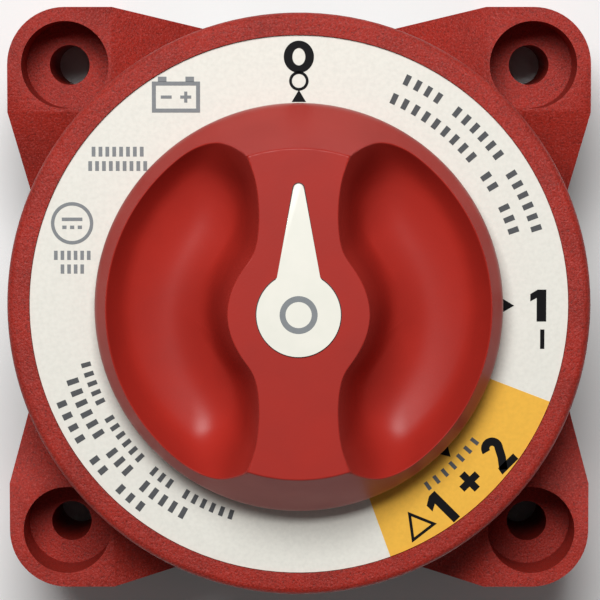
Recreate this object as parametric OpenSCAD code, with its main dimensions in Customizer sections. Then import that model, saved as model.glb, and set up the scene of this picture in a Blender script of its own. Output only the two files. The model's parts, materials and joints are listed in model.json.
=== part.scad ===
// Battery switch: a four-ear housing with a rotary knob that joins two battery
// studs to two load studs. Turned clockwise from OFF (towards +Y), the knob stops
// at ON (a quarter turn) and at BOTH (an eighth of a turn further).
// Origin: centre of the back, on the mounting plane. +Z: out along the knob's axis.

/* [Case] */
// Distance between the centres of neighbouring mounting holes
hole_pitch = 84.1; // [82:0.1:88]
// Radius of an ear's outer corner, about its mounting hole
ear_r = 10.35; // [9.5:0.05:11]
// Radius of a mounting hole
hole_r = 3.65; // [3:0.05:4.5]
// Radius of the counterbore above a mounting hole
counterbore_r = 7.85; // [7:0.05:8.5]
// Height of the ears above the mounting plane
ear_z = 38; // [35:0.5:40]
// Depth of the counterbore
counterbore_depth = 12.5; // [8:0.5:16]
// Outer radius of the raised ring around the label
ring_r = 51.1; // [50:0.1:52]
// Height of the raised ring above the mounting plane
ring_z = 56; // [55.8:0.1:56.4]
// Outer radius of the label's recess
label_r = 47.2; // [45:0.1:48]
// Outer radius of the drum below the ring
drum_r = 47.5; // [47:0.1:49]

/* [Knob] */
// Radius of the knob's rim
rim_r = 35.4; // [35:0.1:37]
// Width of the rim outside the finger scoops
rim_w = 2; // [1.5:0.1:3]
// Radius of the knob's flat top
knob_top_r = 28; // [27:0.1:30]
// Height of the knob's flat top above the mounting plane
knob_z = 77.6; // [77:0.1:79]
// Half width of the grip at its waists
waist_half = 6.9; // [6.6:0.1:8]
// Radius of the round boss in the middle of the grip
boss_r = 12.1; // [11:0.1:14]
// Height of the floor of the finger scoops
scoop_z = 60.5; // [60:0.1:64]
// Radius of the pointer's disc
pointer_disc_r = 7.1; // [6.5:0.1:8]
// Distance from the knob's axis to the pointer's tip
pointer_reach = 22.1; // [18:0.1:24]

/* [Terminals] */
// Distance from the axis to each stud
stud_at = 28; // [27:0.1:29]
// Radius of a stud
stud_r = 4.7625; // [4:0.0125:5]
// Height of the studs' free ends above the mounting plane
stud_end_z = 1.5; // [1:0.1:3]

/* [Contacts] */
// Radius of the inner contact track
inner_track = 11.2; // [11:0.1:11.4]
// Radius of the middle contact track
middle_track = 18.5; // [18.2:0.1:18.8]
// Radius of the outer contact track
outer_track = 26.5; // [26.2:0.1:26.8]
// How far a sprung contact can lift
contact_lift = 0.6; // [0.4:0.1:0.6]
// How far a detent plunger can rise into a notch
detent_rise = 0.8; // [0.6:0.1:0.8]

/* [Hidden] */
$fn = 96;
eps = 0.01;

// Angles are counted clockwise from OFF, seen from the front
off_angle = 0;
on_angle = 90;
both_angle = 135;
stops = [off_angle, on_angle, both_angle];

// Case
half_pitch = hole_pitch / 2;
ear_out = half_pitch + ear_r;
ear_in = half_pitch - 8.5;
web_end = 14;
web_low_z = 26;
web_taper = 4.6;
web_root = 30;
deck_under_z = 51.7;
deck_z = ring_z - 0.8;
label_t = 0.3;
label_hole_r = 12.5;
collar_r = 11;
collar_z = 57.6;
ring_h = 6;
ring_round = 1.5;
cavity_r = 42.5;
rebate_r = 44.5;
drum_z = 22;
ledge_z = 28;
boss_at = 39.2;
boss_post_r = 4;
base_screw_r = 1.6;
base_screw_z = 40;

// Shaft and its bearing
journal_r = 6;
running_gap = 0.05;
bushing_r = 8.5;
bushing_flange_r = 10.5;
bushing_low_z = 50.2;
bushing_z = 57.8;
square = 8.2;
square_gap = 0.05;
shaft_low_z = 36.2;
journal_low_z = 47;
journal_z = 57.95;
shaft_z = 67;
seal_z = 55.2;
seal_wire_r = 0.84;
screw_core_r = 2.1;
screw_gap = 0.4;
screw_head_r = 4.4;
washer_seat_t = 1;
knob_screw_z = 60;
rotor_screw_z = 44;
circlip_z = 48.95;

// Knob
skirt_z = 55.9;
skirt_wall = 2.5;
rim_z = 62.3;
ceiling_z = 58;
pointer_recess_z = knob_z - 1;
pointer_z = knob_z + 0.4;
pointer_tip_r = 0.9;
pointer_neck = 3.43;
pointer_gap = 0.12;
screw_seat_z = 71;
knob_head_z = 75.2;
core_half = 4.5;
core_from = 10.5;
core_to = 23.5;
core_z = 73;
screw_pocket_r = 5.2;
lobe_r = 30;
lobe_y = 14.3;
scoop_half_y = 29.3;

// Rotor and sprung contacts
rotor_r = 32;
rotor_low_z = 32;
rotor_z = 47;
pad_z = 31.05;
bar_low_z = 31.6;
bar_z = 33.6;
bar_half_w = 4.5;
pocket_z = bar_z + contact_lift + 0.4;
spring_roof_z = 40;
bridge_spring_r = 2.8;
link_spring_r = 1.5;
link_roof_z = 38.5;
link_home = 157;
link_lobe = 2.7;
washer_seat_z = 35.2;
rotor_washer_r = 6.6;

// Detent
detent_at = 20;
detent_home = 90;
detent_r = 2.4;
detent_low_z = 42;
detent_well_z = 36;
plate_z = 48.2;
plate_r = 33;
plate_screw_at = 28.5;
plate_screw_angles = [60, 180, 300];
plate_screw_r = 1.2;
plate_screw_z = 54.3;
plate_head_r = 2.4;
plate_head_t = 1.5;
nose_tip_r = 1;
nose_len = 1.6;

// Terminals
plate_top_z = 31;
arc_from = 80;
arc_to = 145;
strip_z = 29.4;
track_half = 2.3;
strip_half = 1.9;
stud_pad_r = 6.5;
plate_step = 0.3;
tab_angle = 112;
land_from = 152;
land_to = 253;
washer_t = 1.6;
washer_r = 9.5;
lock_washer_t = 2.4;
lock_washer_r = 8.4;
split = 8;
nut_t = 8.3;
nut_flats = 14.29;
nut_low_z = drum_z - washer_t - lock_washer_t - nut_t;
nut_grip = 0.35;

// Rear guard
guard_half = 46.5;
guard_wall = 2.5;
guard_notch = 33;
guard_z = drum_z;
exit_half = 11;
exit_z = 15;
lug = [40, 27.2];
lug_half = 4;
lug_low_z = 16.5;
guard_screw_r = 1.5;
guard_screw_z = 28;

// ---------------------------------------------------------------- helpers

// Places its children at radius r and clockwise angle a
module at_angle(r, a) {
    rotate([0, 0, -a])
        translate([0, r, 0])
            children();
}

// The same thing at all four corners
module four_corners() {
    for (sx = [0, 1])
        for (sy = [0, 1])
            mirror([sx, 0, 0])
                mirror([0, sy, 0])
                    children();
}

// A plain round bar from z0 to z1
module rod(r, z0, z1) {
    translate([0, 0, z0])
        cylinder(r = r, h = z1 - z0);
}

// A flat ring from z0 to z1
module tube(r_in, r_out, z0, z1) {
    difference() {
        rod(r_out, z0, z1);
        rod(r_in, z0 - eps, z1 + eps);
    }
}

// Part of a flat ring, between two clockwise angles
module arc_plate(r_in, r_out, z0, z1, from, to) {
    rotate([0, 0, 90 - to])
        rotate_extrude(angle = to - from)
            translate([r_in, z0])
                square([r_out - r_in, z1 - z0]);
}

// A square bar from z0 to z1
module square_bar(side, z0, z1) {
    translate([-side / 2, -side / 2, z0])
        cube([side, side, z1 - z0]);
}

// Points of one ring of a coil spring's wire, at step i of its helix
function wire_ring(r, wire, z0, z1, turns, steps, sides, i) =
    let (turn = 360 * turns * i / steps)
    let (z = z0 + wire + (z1 - z0 - 2 * wire) * i / steps)
    [for (k = [0:sides - 1])
        let (out = r + wire * cos(360 * k / sides))
        [out * cos(turn), out * sin(turn), z + wire * sin(360 * k / sides)]];

// A coil spring from z0 to z1, swept round its helix
module coil_spring(r, wire, z0, z1, turns) {
    sides = 6;
    steps = turns * 10;
    points = [for (i = [0:steps])
        each wire_ring(r, wire, z0, z1, turns, steps, sides, i)];
    sweep = [for (i = [0:steps - 1])
        for (k = [0:sides - 1])
            [i * sides + k, i * sides + (k + 1) % sides,
             (i + 1) * sides + (k + 1) % sides, (i + 1) * sides + k]];
    start = [for (k = [0:sides - 1]) sides - 1 - k];
    end = [for (k = [0:sides - 1]) steps * sides + k];
    polyhedron(points, concat([start, end], sweep), convexity = 10);
}

// A screw that stands head down below z: head, then shank up to z1
module screw_up(head_r, head_t, shank_r, z, z1) {
    difference() {
        union() {
            rod(head_r, z - head_t, z);
            rod(shank_r, z - eps, z1);
        }
        translate([0, 0, z - head_t - eps])
            cylinder(r = head_r * 0.5, h = head_t * 0.6, $fn = 6);
    }
}

// ---------------------------------------------------------------- case

// Ear: the square column that a mounting screw clamps, with a round outer corner
module ear_column() {
    side = ear_out - ear_in;
    inner = half_pitch - ear_in;
    linear_extrude(ear_z)
        translate([ear_in, ear_in]) {
            intersection() {
                translate([inner, inner])
                    circle(r = ear_r);
                square(side);
            }
            square([side, inner]);
            square([inner, side]);
        }
}

// Sloping web from an ear towards the middle of its side
module ear_web() {
    intersection() {
        translate([0, 0, drum_z])
            linear_extrude(ear_z - drum_z)
                polygon([[web_root, web_end], [ear_out - web_taper, web_end],
                         [ear_out, ear_in], [ear_out - 2, ear_in + 2],
                         [web_root, ear_in + 2]]);
        translate([ear_out + 1, 0, 0])
            rotate([0, -90, 0])
                linear_extrude(ear_out)
                    polygon([[drum_z, web_end], [web_low_z, web_end],
                             [ear_z, ear_in], [ear_z - 2, ear_in + 2],
                             [drum_z, ear_in + 2]]);
    }
}

// The same web on the ear's other side
module ear_web_pair() {
    ear_web();
    mirror([1, -1, 0])
        ear_web();
}

// Outer shell of the drum and ring, before it is hollowed
module drum_solid() {
    rotate_extrude()
        difference() {
            union() {
                translate([0, drum_z])
                    square([drum_r, ring_z - drum_z - ring_round]);
                translate([0, ring_z - ring_h])
                    square([ring_r, ring_h - ring_round]);
                translate([0, ring_z - ring_h])
                    square([ring_r - ring_round, ring_h]);
                translate([ring_r - ring_round, ring_z - ring_round])
                    circle(r = ring_round);
            }
            translate([-1, deck_z])
                square([label_r + 1, ring_z]);
        }
    rod(collar_r, deck_z - 1, collar_z);
}

module housing() color([0.62, 0.12, 0.11]) {
    difference() {
        union() {
            difference() {
                union() {
                    drum_solid();
                    four_corners() {
                        ear_column();
                        ear_web_pair();
                    }
                }
                rod(cavity_r, drum_z - 1, deck_under_z);
                rod(rebate_r, drum_z - 1, ledge_z);
            }
            for (a = [0, 90, 180, 270])
                at_angle(boss_at, a)
                    rod(boss_post_r, ledge_z, deck_under_z + 1);
        }
        rod(bushing_r, deck_under_z - 1, collar_z + 1);
        for (a = [0, 90, 180, 270])
            at_angle(boss_at, a)
                rod(base_screw_r, ledge_z - 1, base_screw_z + 1);
        for (a = plate_screw_angles)
            at_angle(plate_screw_at, a)
                rod(plate_screw_r, deck_under_z - 1, plate_screw_z + 0.2);
        four_corners()
            translate([half_pitch, half_pitch, 0]) {
                rod(hole_r, -1, ear_z);
                rod(counterbore_r, ear_z - counterbore_depth, ear_z + 1);
            }
        for (s = [1, -1])
            translate([s * lug[0], s * lug[1], 0])
                rod(guard_screw_r, drum_z - 1, guard_screw_z + 1);
    }
}

module face_label() color([0.93, 0.92, 0.86])
    tube(label_hole_r, label_r - 0.1, deck_z, deck_z + label_t);

module shaft_bushing() color([0.9, 0.9, 0.86])
    difference() {
        union() {
            rod(bushing_r, bushing_low_z, bushing_z);
            rod(bushing_flange_r, bushing_low_z, deck_under_z);
        }
        rod(journal_r + running_gap, bushing_low_z - 1, bushing_z + 1);
    }

// Cone-shaped notch that a detent plunger's nose rises into, with air above it
module detent_notch() {
    air = 0.3;
    translate([0, 0, plate_z - eps])
        cylinder(r1 = detent_r + air, r2 = nose_tip_r + air, h = detent_rise + 0.5);
}

module detent_plate() color([0.25, 0.25, 0.27])
    difference() {
        tube(collar_r + 0.5, plate_r, plate_z, deck_under_z);
        for (a = stops)
            for (half = [0, 180])
                at_angle(detent_at, detent_home + a + half)
                    detent_notch();
        for (a = plate_screw_angles)
            at_angle(plate_screw_at, a) {
                rod(plate_screw_r + 0.25, plate_z - 1, deck_under_z + 1);
                rod(plate_head_r + 0.2, plate_z - 1, plate_z + plate_head_t + 0.1);
            }
    }

module detent_plate_screws() color([0.75, 0.75, 0.77])
    for (a = plate_screw_angles)
        at_angle(plate_screw_at, a)
            screw_up(plate_head_r, plate_head_t, plate_screw_r, plate_z + plate_head_t + 0.1,
                     plate_screw_z);

// ---------------------------------------------------------------- knob

// Outline of the finger scoop on the -X side
module scoop_outline() {
    difference() {
        intersection() {
            circle(r = rim_r - rim_w);
            translate([-rim_r, -scoop_half_y])
                square([rim_r, 2 * scoop_half_y]);
            union() {
                for (s = [1, -1])
                    translate([-lobe_r - waist_half, s * lobe_y])
                        circle(r = lobe_r);
                translate([-rim_r, -lobe_y])
                    square([rim_r - boss_r + 1, 2 * lobe_y]);
            }
        }
        circle(r = boss_r);
    }
}

// What is cut away for one finger scoop, down to its floor and over its rim
module scoop_cut() {
    translate([0, 0, scoop_z])
        linear_extrude(knob_z)
            scoop_outline();
    translate([0, 0, rim_z])
        linear_extrude(knob_z)
            intersection() {
                difference() {
                    circle(r = rim_r + 1);
                    circle(r = rim_r - rim_w - eps);
                }
                translate([-rim_r - 2, -scoop_half_y])
                    square([rim_r, 2 * scoop_half_y]);
            }
}

// Pointer with its disc, made larger by gap all round
module pointer_outline(gap) {
    circle(r = pointer_disc_r + gap);
    translate([0, pointer_reach - pointer_tip_r])
        circle(r = pointer_tip_r + gap);
    polygon([[-pointer_neck - gap, pointer_disc_r - 1.5],
             [-pointer_tip_r - gap, pointer_reach - pointer_tip_r],
             [pointer_tip_r + gap, pointer_reach - pointer_tip_r],
             [pointer_neck + gap, pointer_disc_r - 1.5]]);
}

module knob() color([0.66, 0.15, 0.13])
    difference() {
        rotate_extrude()
            polygon([[0, ceiling_z], [rim_r - skirt_wall, ceiling_z],
                     [rim_r - skirt_wall, skirt_z], [rim_r, skirt_z],
                     [rim_r, rim_z], [knob_top_r, knob_z], [0, knob_z]]);
        for (s = [0, 1])
            mirror([s, 0, 0])
                scoop_cut();
        translate([0, 0, pointer_recess_z])
            linear_extrude(5)
                pointer_outline(pointer_gap);
        rod(screw_pocket_r, screw_seat_z, knob_z);
        rod(screw_core_r + screw_gap, shaft_z, screw_seat_z + 1);
        square_bar(square + 2 * square_gap, ceiling_z - 1, shaft_z + 0.2);
        for (s = [0, 1])
            mirror([0, s, 0])
                translate([-core_half, core_from, ceiling_z - 1])
                    cube([2 * core_half, core_to - core_from, core_z - ceiling_z + 1]);
    }

module pointer_insert() color([0.95, 0.94, 0.9]) {
    translate([0, 0, pointer_recess_z])
        linear_extrude(pointer_z - pointer_recess_z)
            pointer_outline(0);
    rod(screw_pocket_r - 0.1, pointer_recess_z - 1, pointer_recess_z + eps);
}

module knob_washer() color([0.78, 0.78, 0.8])
    tube(screw_core_r + screw_gap, screw_pocket_r - 0.3, screw_seat_z, screw_seat_z + washer_seat_t);

module knob_screw() color([0.75, 0.75, 0.77])
    difference() {
        union() {
            rod(screw_core_r, knob_screw_z, screw_seat_z + washer_seat_t);
            rod(screw_head_r, screw_seat_z + washer_seat_t, knob_head_z);
        }
        translate([0, 0, knob_head_z - 2])
            cylinder(r = screw_head_r / 2, h = 3, $fn = 6);
    }

module drive_shaft() color([0.72, 0.72, 0.74])
    difference() {
        union() {
            square_bar(square, shaft_low_z, shaft_z);
            rod(journal_r, journal_low_z, journal_z);
        }
        rod(screw_core_r, knob_screw_z - 1, shaft_z + 1);
        rod(screw_core_r, shaft_low_z - 1, rotor_screw_z + 1);
        tube(journal_r - 2 * seal_wire_r - 0.05, journal_r + 1, seal_z - 1, seal_z + 1);
        tube(journal_r - 1, journal_r + 1, circlip_z - 0.05, circlip_z + 1.05);
    }

module shaft_o_ring() color([0.06, 0.06, 0.06])
    rotate_extrude()
        translate([journal_r + 0.03 - seal_wire_r, seal_z])
            circle(r = seal_wire_r);

module shaft_circlip() color([0.35, 0.35, 0.37])
    arc_plate(journal_r - 0.95, journal_r + 2, circlip_z, circlip_z + 1, 30, 330);

// ---------------------------------------------------------------- rotor

// Bridge contact's plan, made larger by gap
module bar_outline(gap) {
    for (r = [middle_track, outer_track])
        translate([0, r])
            circle(r = bar_half_w + gap);
    translate([-bar_half_w - gap, middle_track])
        square([2 * (bar_half_w + gap), outer_track - middle_track]);
}

// Link contact's plan, made larger by gap
module link_outline(gap) {
    difference() {
        circle(r = inner_track + 2.2 + gap);
        circle(r = inner_track - 2.2 - gap);
    }
    for (half = [0, 180])
        rotate(half - link_home)
            translate([-3 - gap, inner_track])
                square([2 * (3 + gap), link_lobe + gap]);
}

module rotor() color([0.2, 0.2, 0.22])
    difference() {
        rod(rotor_r, rotor_low_z, rotor_z);
        square_bar(square + 2 * square_gap, rotor_low_z - 1, rotor_z + 1);
        rod(rotor_washer_r + 0.4, rotor_low_z - 1, washer_seat_z + washer_seat_t);
        for (half = [0, 180])
            rotate([0, 0, half]) {
                translate([0, 0, rotor_low_z - 1])
                    linear_extrude(pocket_z - rotor_low_z + 1)
                        bar_outline(0.15);
                for (r = [middle_track, outer_track])
                    translate([0, r, 0])
                        rod(bridge_spring_r + 0.9, pocket_z - 1, spring_roof_z);
                at_angle(detent_at, detent_home)
                    rod(detent_r + running_gap, detent_well_z, rotor_z + 1);
            }
        translate([0, 0, rotor_low_z - 1])
            linear_extrude(pocket_z - rotor_low_z + 1)
                link_outline(0.15);
        for (half = [90, 270])
            at_angle(inner_track, link_home + half)
                rod(link_spring_r + 0.5, pocket_z - 1, link_roof_z);
    }

module rotor_washer() color([0.78, 0.78, 0.8])
    tube(screw_core_r + screw_gap, rotor_washer_r, washer_seat_z, washer_seat_z + washer_seat_t);

module rotor_screw() color([0.75, 0.75, 0.77])
    screw_up(screw_head_r, 2.6, screw_core_r, washer_seat_z, rotor_screw_z);

// Sprung contact that bridges the middle and outer tracks
module bridge_contact() {
    translate([0, 0, bar_low_z])
        linear_extrude(bar_z - bar_low_z)
            bar_outline(0);
    for (r = [middle_track, outer_track])
        translate([0, r, 0])
            rod(2.2, pad_z, bar_low_z + eps);
}

module bridge_contact_a() color([0.8, 0.5, 0.33])
    bridge_contact();

module bridge_contact_b() color([0.8, 0.5, 0.33])
    rotate([0, 0, 180])
        bridge_contact();

module link_contact() color([0.8, 0.5, 0.33]) {
    translate([0, 0, bar_low_z])
        linear_extrude(bar_z - bar_low_z)
            link_outline(0);
    for (half = [0, 180])
        at_angle(inner_track, link_home + half)
            rod(1.8, pad_z, bar_low_z + eps);
}

// The two springs behind one bridge contact
module bridge_springs() {
    for (r = [middle_track, outer_track])
        translate([0, r, 0])
            coil_spring(bridge_spring_r, 0.4, bar_z, spring_roof_z, 4);
}

module bridge_springs_a() color([0.7, 0.7, 0.72])
    bridge_springs();

module bridge_springs_b() color([0.7, 0.7, 0.72])
    rotate([0, 0, 180])
        bridge_springs();

module link_springs() color([0.7, 0.7, 0.72])
    for (half = [90, 270])
        at_angle(inner_track, link_home + half)
            coil_spring(link_spring_r, 0.25, bar_z, link_roof_z, 4);

// Plunger drawn with its nose just below the detent plate's face
module detent_plunger() {
    at_angle(detent_at, detent_home) {
        rod(detent_r, detent_low_z, plate_z - 0.1 - nose_len);
        translate([0, 0, plate_z - 0.1 - nose_len])
            cylinder(r1 = detent_r, r2 = nose_tip_r, h = nose_len);
    }
}

module detent_plunger_a() color([0.88, 0.88, 0.84])
    detent_plunger();

module detent_plunger_b() color([0.88, 0.88, 0.84])
    rotate([0, 0, 180])
        detent_plunger();

module detent_spring() {
    at_angle(detent_at, detent_home)
        coil_spring(1.9, 0.3, detent_well_z, detent_low_z, 4);
}

module detent_spring_a() color([0.7, 0.7, 0.72])
    detent_spring();

module detent_spring_b() color([0.7, 0.7, 0.72])
    rotate([0, 0, 180])
        detent_spring();

// ---------------------------------------------------------------- terminals

// Stud up to z: its free end, then the slightly thinner length inside nut and base
module stud(z) {
    rod(stud_r, stud_end_z, nut_low_z);
    rod(stud_r - nut_grip, nut_low_z - 1, z);
}

// Low strip that leads from a load plate to its stud, made larger by gap
module load_strip(gap) {
    arc_plate(middle_track - strip_half - gap, middle_track + strip_half + gap,
              ledge_z - gap, strip_z + gap, 45, arc_from + 2);
    at_angle(0, 45)
        translate([-4 - gap, middle_track - 1.5 - gap, ledge_z - gap])
            cube([8 + 2 * gap, stud_at - middle_track, strip_z - ledge_z + 2 * gap]);
    at_angle(stud_at, 45)
        rod(stud_pad_r + gap, ledge_z - gap, strip_z + gap);
}

// Load terminal: middle-track plate, link tab, strip and stud
module load_terminal() {
    arc_plate(middle_track - track_half, middle_track + track_half,
              ledge_z, plate_top_z, arc_from, arc_to);
    at_angle(0, tab_angle)
        translate([-2.5, inner_track - 2, ledge_z])
            cube([5, middle_track - inner_track, plate_top_z - ledge_z]);
    load_strip(0);
    at_angle(stud_at, 45)
        stud(strip_z - 1);
}

// Battery terminal: outer-track plate, a step up from its stud's pad
module battery_terminal() {
    arc_plate(outer_track - track_half, outer_track + track_half,
              ledge_z + plate_step, plate_top_z, arc_from, arc_to);
    at_angle(stud_at, 135) {
        rod(stud_pad_r, ledge_z, plate_top_z - plate_step);
        stud(plate_top_z - 1);
    }
}

module load_terminal_1() color([0.85, 0.82, 0.75])
    load_terminal();

module battery_terminal_1() color([0.85, 0.82, 0.75])
    battery_terminal();

module load_terminal_2() color([0.85, 0.82, 0.75])
    rotate([0, 0, 180])
        load_terminal();

module battery_terminal_2() color([0.85, 0.82, 0.75])
    rotate([0, 0, 180])
        battery_terminal();

// Runs its children at the four studs
module at_studs() {
    for (a = [45, 135, 225, 315])
        at_angle(stud_at, a)
            children();
}

module terminal_base() color([0.16, 0.16, 0.17])
    difference() {
        union() {
            rod(rebate_r - 0.2, drum_z, ledge_z - 1);
            rod(cavity_r - 0.2, drum_z, ledge_z);
            for (half = [0, 180])
                arc_plate(15, 30, ledge_z - 1, plate_top_z, land_from + half, land_to + half);
        }
        at_studs()
            rod(stud_r - nut_grip, drum_z - 1, ledge_z + 1);
        for (half = [0, 180])
            rotate([0, 0, half])
                load_strip(0.1);
        for (a = [0, 90, 180, 270])
            at_angle(boss_at, a)
                rod(base_screw_r + 0.3, drum_z - 1, ledge_z + 1);
    }

module base_gasket() color([0.07, 0.07, 0.07])
    tube(cavity_r, rebate_r - 0.2, ledge_z - 1, ledge_z);

module base_screws() color([0.75, 0.75, 0.77])
    for (a = [0, 90, 180, 270])
        at_angle(boss_at, a)
            screw_up(3.2, 2.4, base_screw_r, drum_z, base_screw_z);

module flat_washers() color([0.78, 0.78, 0.8])
    at_studs()
        tube(stud_r + 0.2, washer_r, drum_z - washer_t, drum_z);

module lock_washers() color([0.7, 0.7, 0.72])
    at_studs()
        arc_plate(stud_r + 0.2, lock_washer_r, drum_z - washer_t - lock_washer_t,
                  drum_z - washer_t, split / 2, 360 - split / 2);

module hex_nuts() color([0.78, 0.78, 0.8])
    at_studs()
        difference() {
            translate([0, 0, nut_low_z])
                cylinder(d = nut_flats / cos(30), h = nut_t, $fn = 6);
            rod(stud_r - nut_grip, 0, drum_z);
        }

// ---------------------------------------------------------------- guard

// Plan of the guard: a square with its corners cut out for the ear columns
module guard_plan(inset) {
    side = guard_half - inset;
    notch = guard_notch - inset;
    translate([-side, -notch])
        square([2 * side, 2 * notch]);
    translate([-notch, -side])
        square([2 * notch, 2 * side]);
}

module rear_guard() color([0.13, 0.13, 0.14])
    difference() {
        union() {
            linear_extrude(guard_z)
                difference() {
                    guard_plan(0);
                    guard_plan(guard_wall);
                }
            for (s = [1, -1])
                translate([s * lug[0] - lug_half, s * lug[1] - lug_half, lug_low_z])
                    cube([2 * lug_half, 2 * lug_half, guard_z - lug_low_z]);
        }
        for (turn = [0, 90]) {
            rotate([0, 0, turn])
                translate([-ear_out, 0, exit_z - exit_half])
                    rotate([0, 90, 0])
                        cylinder(r = exit_half, h = 2 * ear_out);
            rotate([0, 0, turn])
                translate([-ear_out, -exit_half, -1])
                    cube([2 * ear_out, 2 * exit_half, exit_z - exit_half + 1]);
        }
        for (s = [1, -1])
            translate([s * lug[0], s * lug[1], 0])
                rod(guard_screw_r + 0.3, 0, drum_z + 1);
    }

module guard_screws() color([0.75, 0.75, 0.77])
    for (s = [1, -1])
        translate([s * lug[0], s * lug[1], 0])
            screw_up(2.9, 2.2, guard_screw_r, lug_low_z, guard_screw_z);

// ---------------------------------------------------------------- nodes

housing();
face_label();
knob();
pointer_insert();
knob_screw();
knob_washer();
drive_shaft();
shaft_o_ring();
shaft_circlip();
shaft_bushing();
rotor();
rotor_screw();
rotor_washer();
bridge_contact_a();
bridge_contact_b();
link_contact();
bridge_springs_a();
bridge_springs_b();
link_springs();
detent_plate();
detent_plate_screws();
detent_plunger_a();
detent_plunger_b();
detent_spring_a();
detent_spring_b();
terminal_base();
load_terminal_1();
battery_terminal_1();
load_terminal_2();
battery_terminal_2();
base_gasket();
flat_washers();
lock_washers();
hex_nuts();
base_screws();
rear_guard();
guard_screws();
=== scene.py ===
"""Looks of the battery switch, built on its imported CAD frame. Lengths are in metres."""
import json
from math import asin, atan2, cos, hypot, pi, radians, sin, sqrt

import bmesh
import bpy
from mathutils import Matrix, Vector


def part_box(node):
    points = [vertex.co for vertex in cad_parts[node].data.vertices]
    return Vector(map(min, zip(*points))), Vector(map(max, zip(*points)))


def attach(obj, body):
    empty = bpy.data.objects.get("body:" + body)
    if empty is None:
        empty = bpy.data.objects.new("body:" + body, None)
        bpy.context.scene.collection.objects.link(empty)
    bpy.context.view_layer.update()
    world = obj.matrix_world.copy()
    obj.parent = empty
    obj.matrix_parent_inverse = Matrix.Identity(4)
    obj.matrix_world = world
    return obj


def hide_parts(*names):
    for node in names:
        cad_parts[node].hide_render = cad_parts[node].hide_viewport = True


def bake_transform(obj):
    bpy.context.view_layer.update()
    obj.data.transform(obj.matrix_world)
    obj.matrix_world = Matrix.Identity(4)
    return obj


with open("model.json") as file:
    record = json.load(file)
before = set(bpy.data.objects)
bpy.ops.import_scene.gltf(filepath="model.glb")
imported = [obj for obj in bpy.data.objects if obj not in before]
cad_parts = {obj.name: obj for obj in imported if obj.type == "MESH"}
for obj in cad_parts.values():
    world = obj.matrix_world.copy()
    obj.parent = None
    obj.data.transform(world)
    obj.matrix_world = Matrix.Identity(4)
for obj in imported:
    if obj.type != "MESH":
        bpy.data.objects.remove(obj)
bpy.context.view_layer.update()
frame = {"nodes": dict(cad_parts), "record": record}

MM = 0.001
CASE = "case"
KNOB = "knob_assembly"

# ---------------------------------------------------------------- sizes from the frame

KNOB_LOW, KNOB_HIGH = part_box("knob")
_, LABEL_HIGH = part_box("face_label")
_, INSERT_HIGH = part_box("pointer_insert")
NUTS_LOW, NUTS_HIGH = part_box("hex_nuts")

RIM_R = KNOB_HIGH.x
KNOB_TOP = KNOB_HIGH.z
SKIRT_Z = KNOB_LOW.z
LABEL_R = LABEL_HIGH.x
LABEL_Z = LABEL_HIGH.z
DISC_R = INSERT_HIGH.x
POINTER_REACH = INSERT_HIGH.y
INSERT_Z = INSERT_HIGH.z

# Knob, close to its CAD solid: the scoops are a little deeper and the boss narrower
RIM_W = 2.0 * MM            # sloping rim outside the scoops
RIM_Z = 62.3 * MM           # height of the rim where the slope meets the skirt
TOP_R = 28.0 * MM           # flat top
FLOOR_Z = 59.3 * MM         # floor of the scoops
CEILING_Z = 58.0 * MM       # underside of the knob's roof
BOSS_R = 11.7 * MM          # round middle of the grip
WAIST_HALF = 6.9 * MM       # half the grip's width beside the boss
LOBE_R = 30.0 * MM          # the two circles that hollow each side of the grip
LOBE_Y = 14.3 * MM
SHOULDER_IN = 0.8 * MM      # from the rim's edge to where the shoulder starts to round
SKIRT_EDGE = 0.5 * MM       # rounding of the skirt's lower edge
SKIRT_WALL = 2.5 * MM       # thickness of the skirt
SCOOP_MIDDLE = (-21 * MM, 0.0)

# Rounding between the knob's surfaces
BOSS_BLEND = 1.6 * MM
CORNER_BLEND = 10.5 * MM
EDGE_BLEND = 0.35 * MM
LOBE_BLEND = 1.5 * MM
LOBE_BLEND_RISE = 0.5       # how fast the blend of the lobes grows past the boss
TOP_BLEND = 0.5 * MM
WALL_BLEND = 7.0 * MM
FILLET = 5.0 * MM

# Walls of the scoops: each falls by its share of the height within its run
BAR_STEEPNESS = 4.4
BAR_SHARE = 0.36
BAR_RUN = 12 * MM
BAR_POWER = 2.1
RIM_SHARE = 0.55
RIM_RUN = 12 * MM
RIM_POWER = 2.0
RIM_STEEP_RUN = 3.6 * MM
RIM_STEEP_POWER = 1.8

# Pointer
POINTER_NECK = 3.43 * MM    # half its width where it leaves the disc
POINTER_TIP_R = 0.9 * MM
POINTER_DEPTH = 1.4 * MM
# width of the black band round the pointer, a painted shadow of a groove
POINTER_SHADOW_WIDTH = 0.16 * MM
DISC_RING = (3.2 * MM, 2.2 * MM)    # outer and inner radius of the ring on the disc

# Studs and nuts; angles are counted clockwise from OFF
STUDS = {"load_terminal_1": 45, "battery_terminal_1": 135,
         "load_terminal_2": 225, "battery_terminal_2": 315}
STUD_R = 4.7625 * MM
STUD_AT = 28.0 * MM
THREAD_PITCH = 25.4 / 16 * MM
NUT_HALF = 7.145 * MM       # half the width across flats
NUT_BORE = 4.42 * MM
NUT_MOUTH = 4.9 * MM        # the bore's countersink

# Colours, linear
RED = (0.37, 0.022, 0.012)
RED_LIGHT = (0.60, 0.10, 0.085)
RED_DARK = (0.13, 0.015, 0.011)
KNOB_RED = (0.41, 0.026, 0.017)
KNOB_RED_DARK = (0.34, 0.021, 0.014)
PAPER = (0.83, 0.82, 0.745)
IVORY = (0.88, 0.86, 0.77)
YELLOW = (0.90, 0.50, 0.072)
INK_BLACK = (0.009, 0.009, 0.010)
INK_DARK = (0.10, 0.105, 0.11)
INK_GREY = (0.25, 0.265, 0.275)
CHARCOAL = (0.022, 0.022, 0.024)


# ---------------------------------------------------------------- materials

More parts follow.
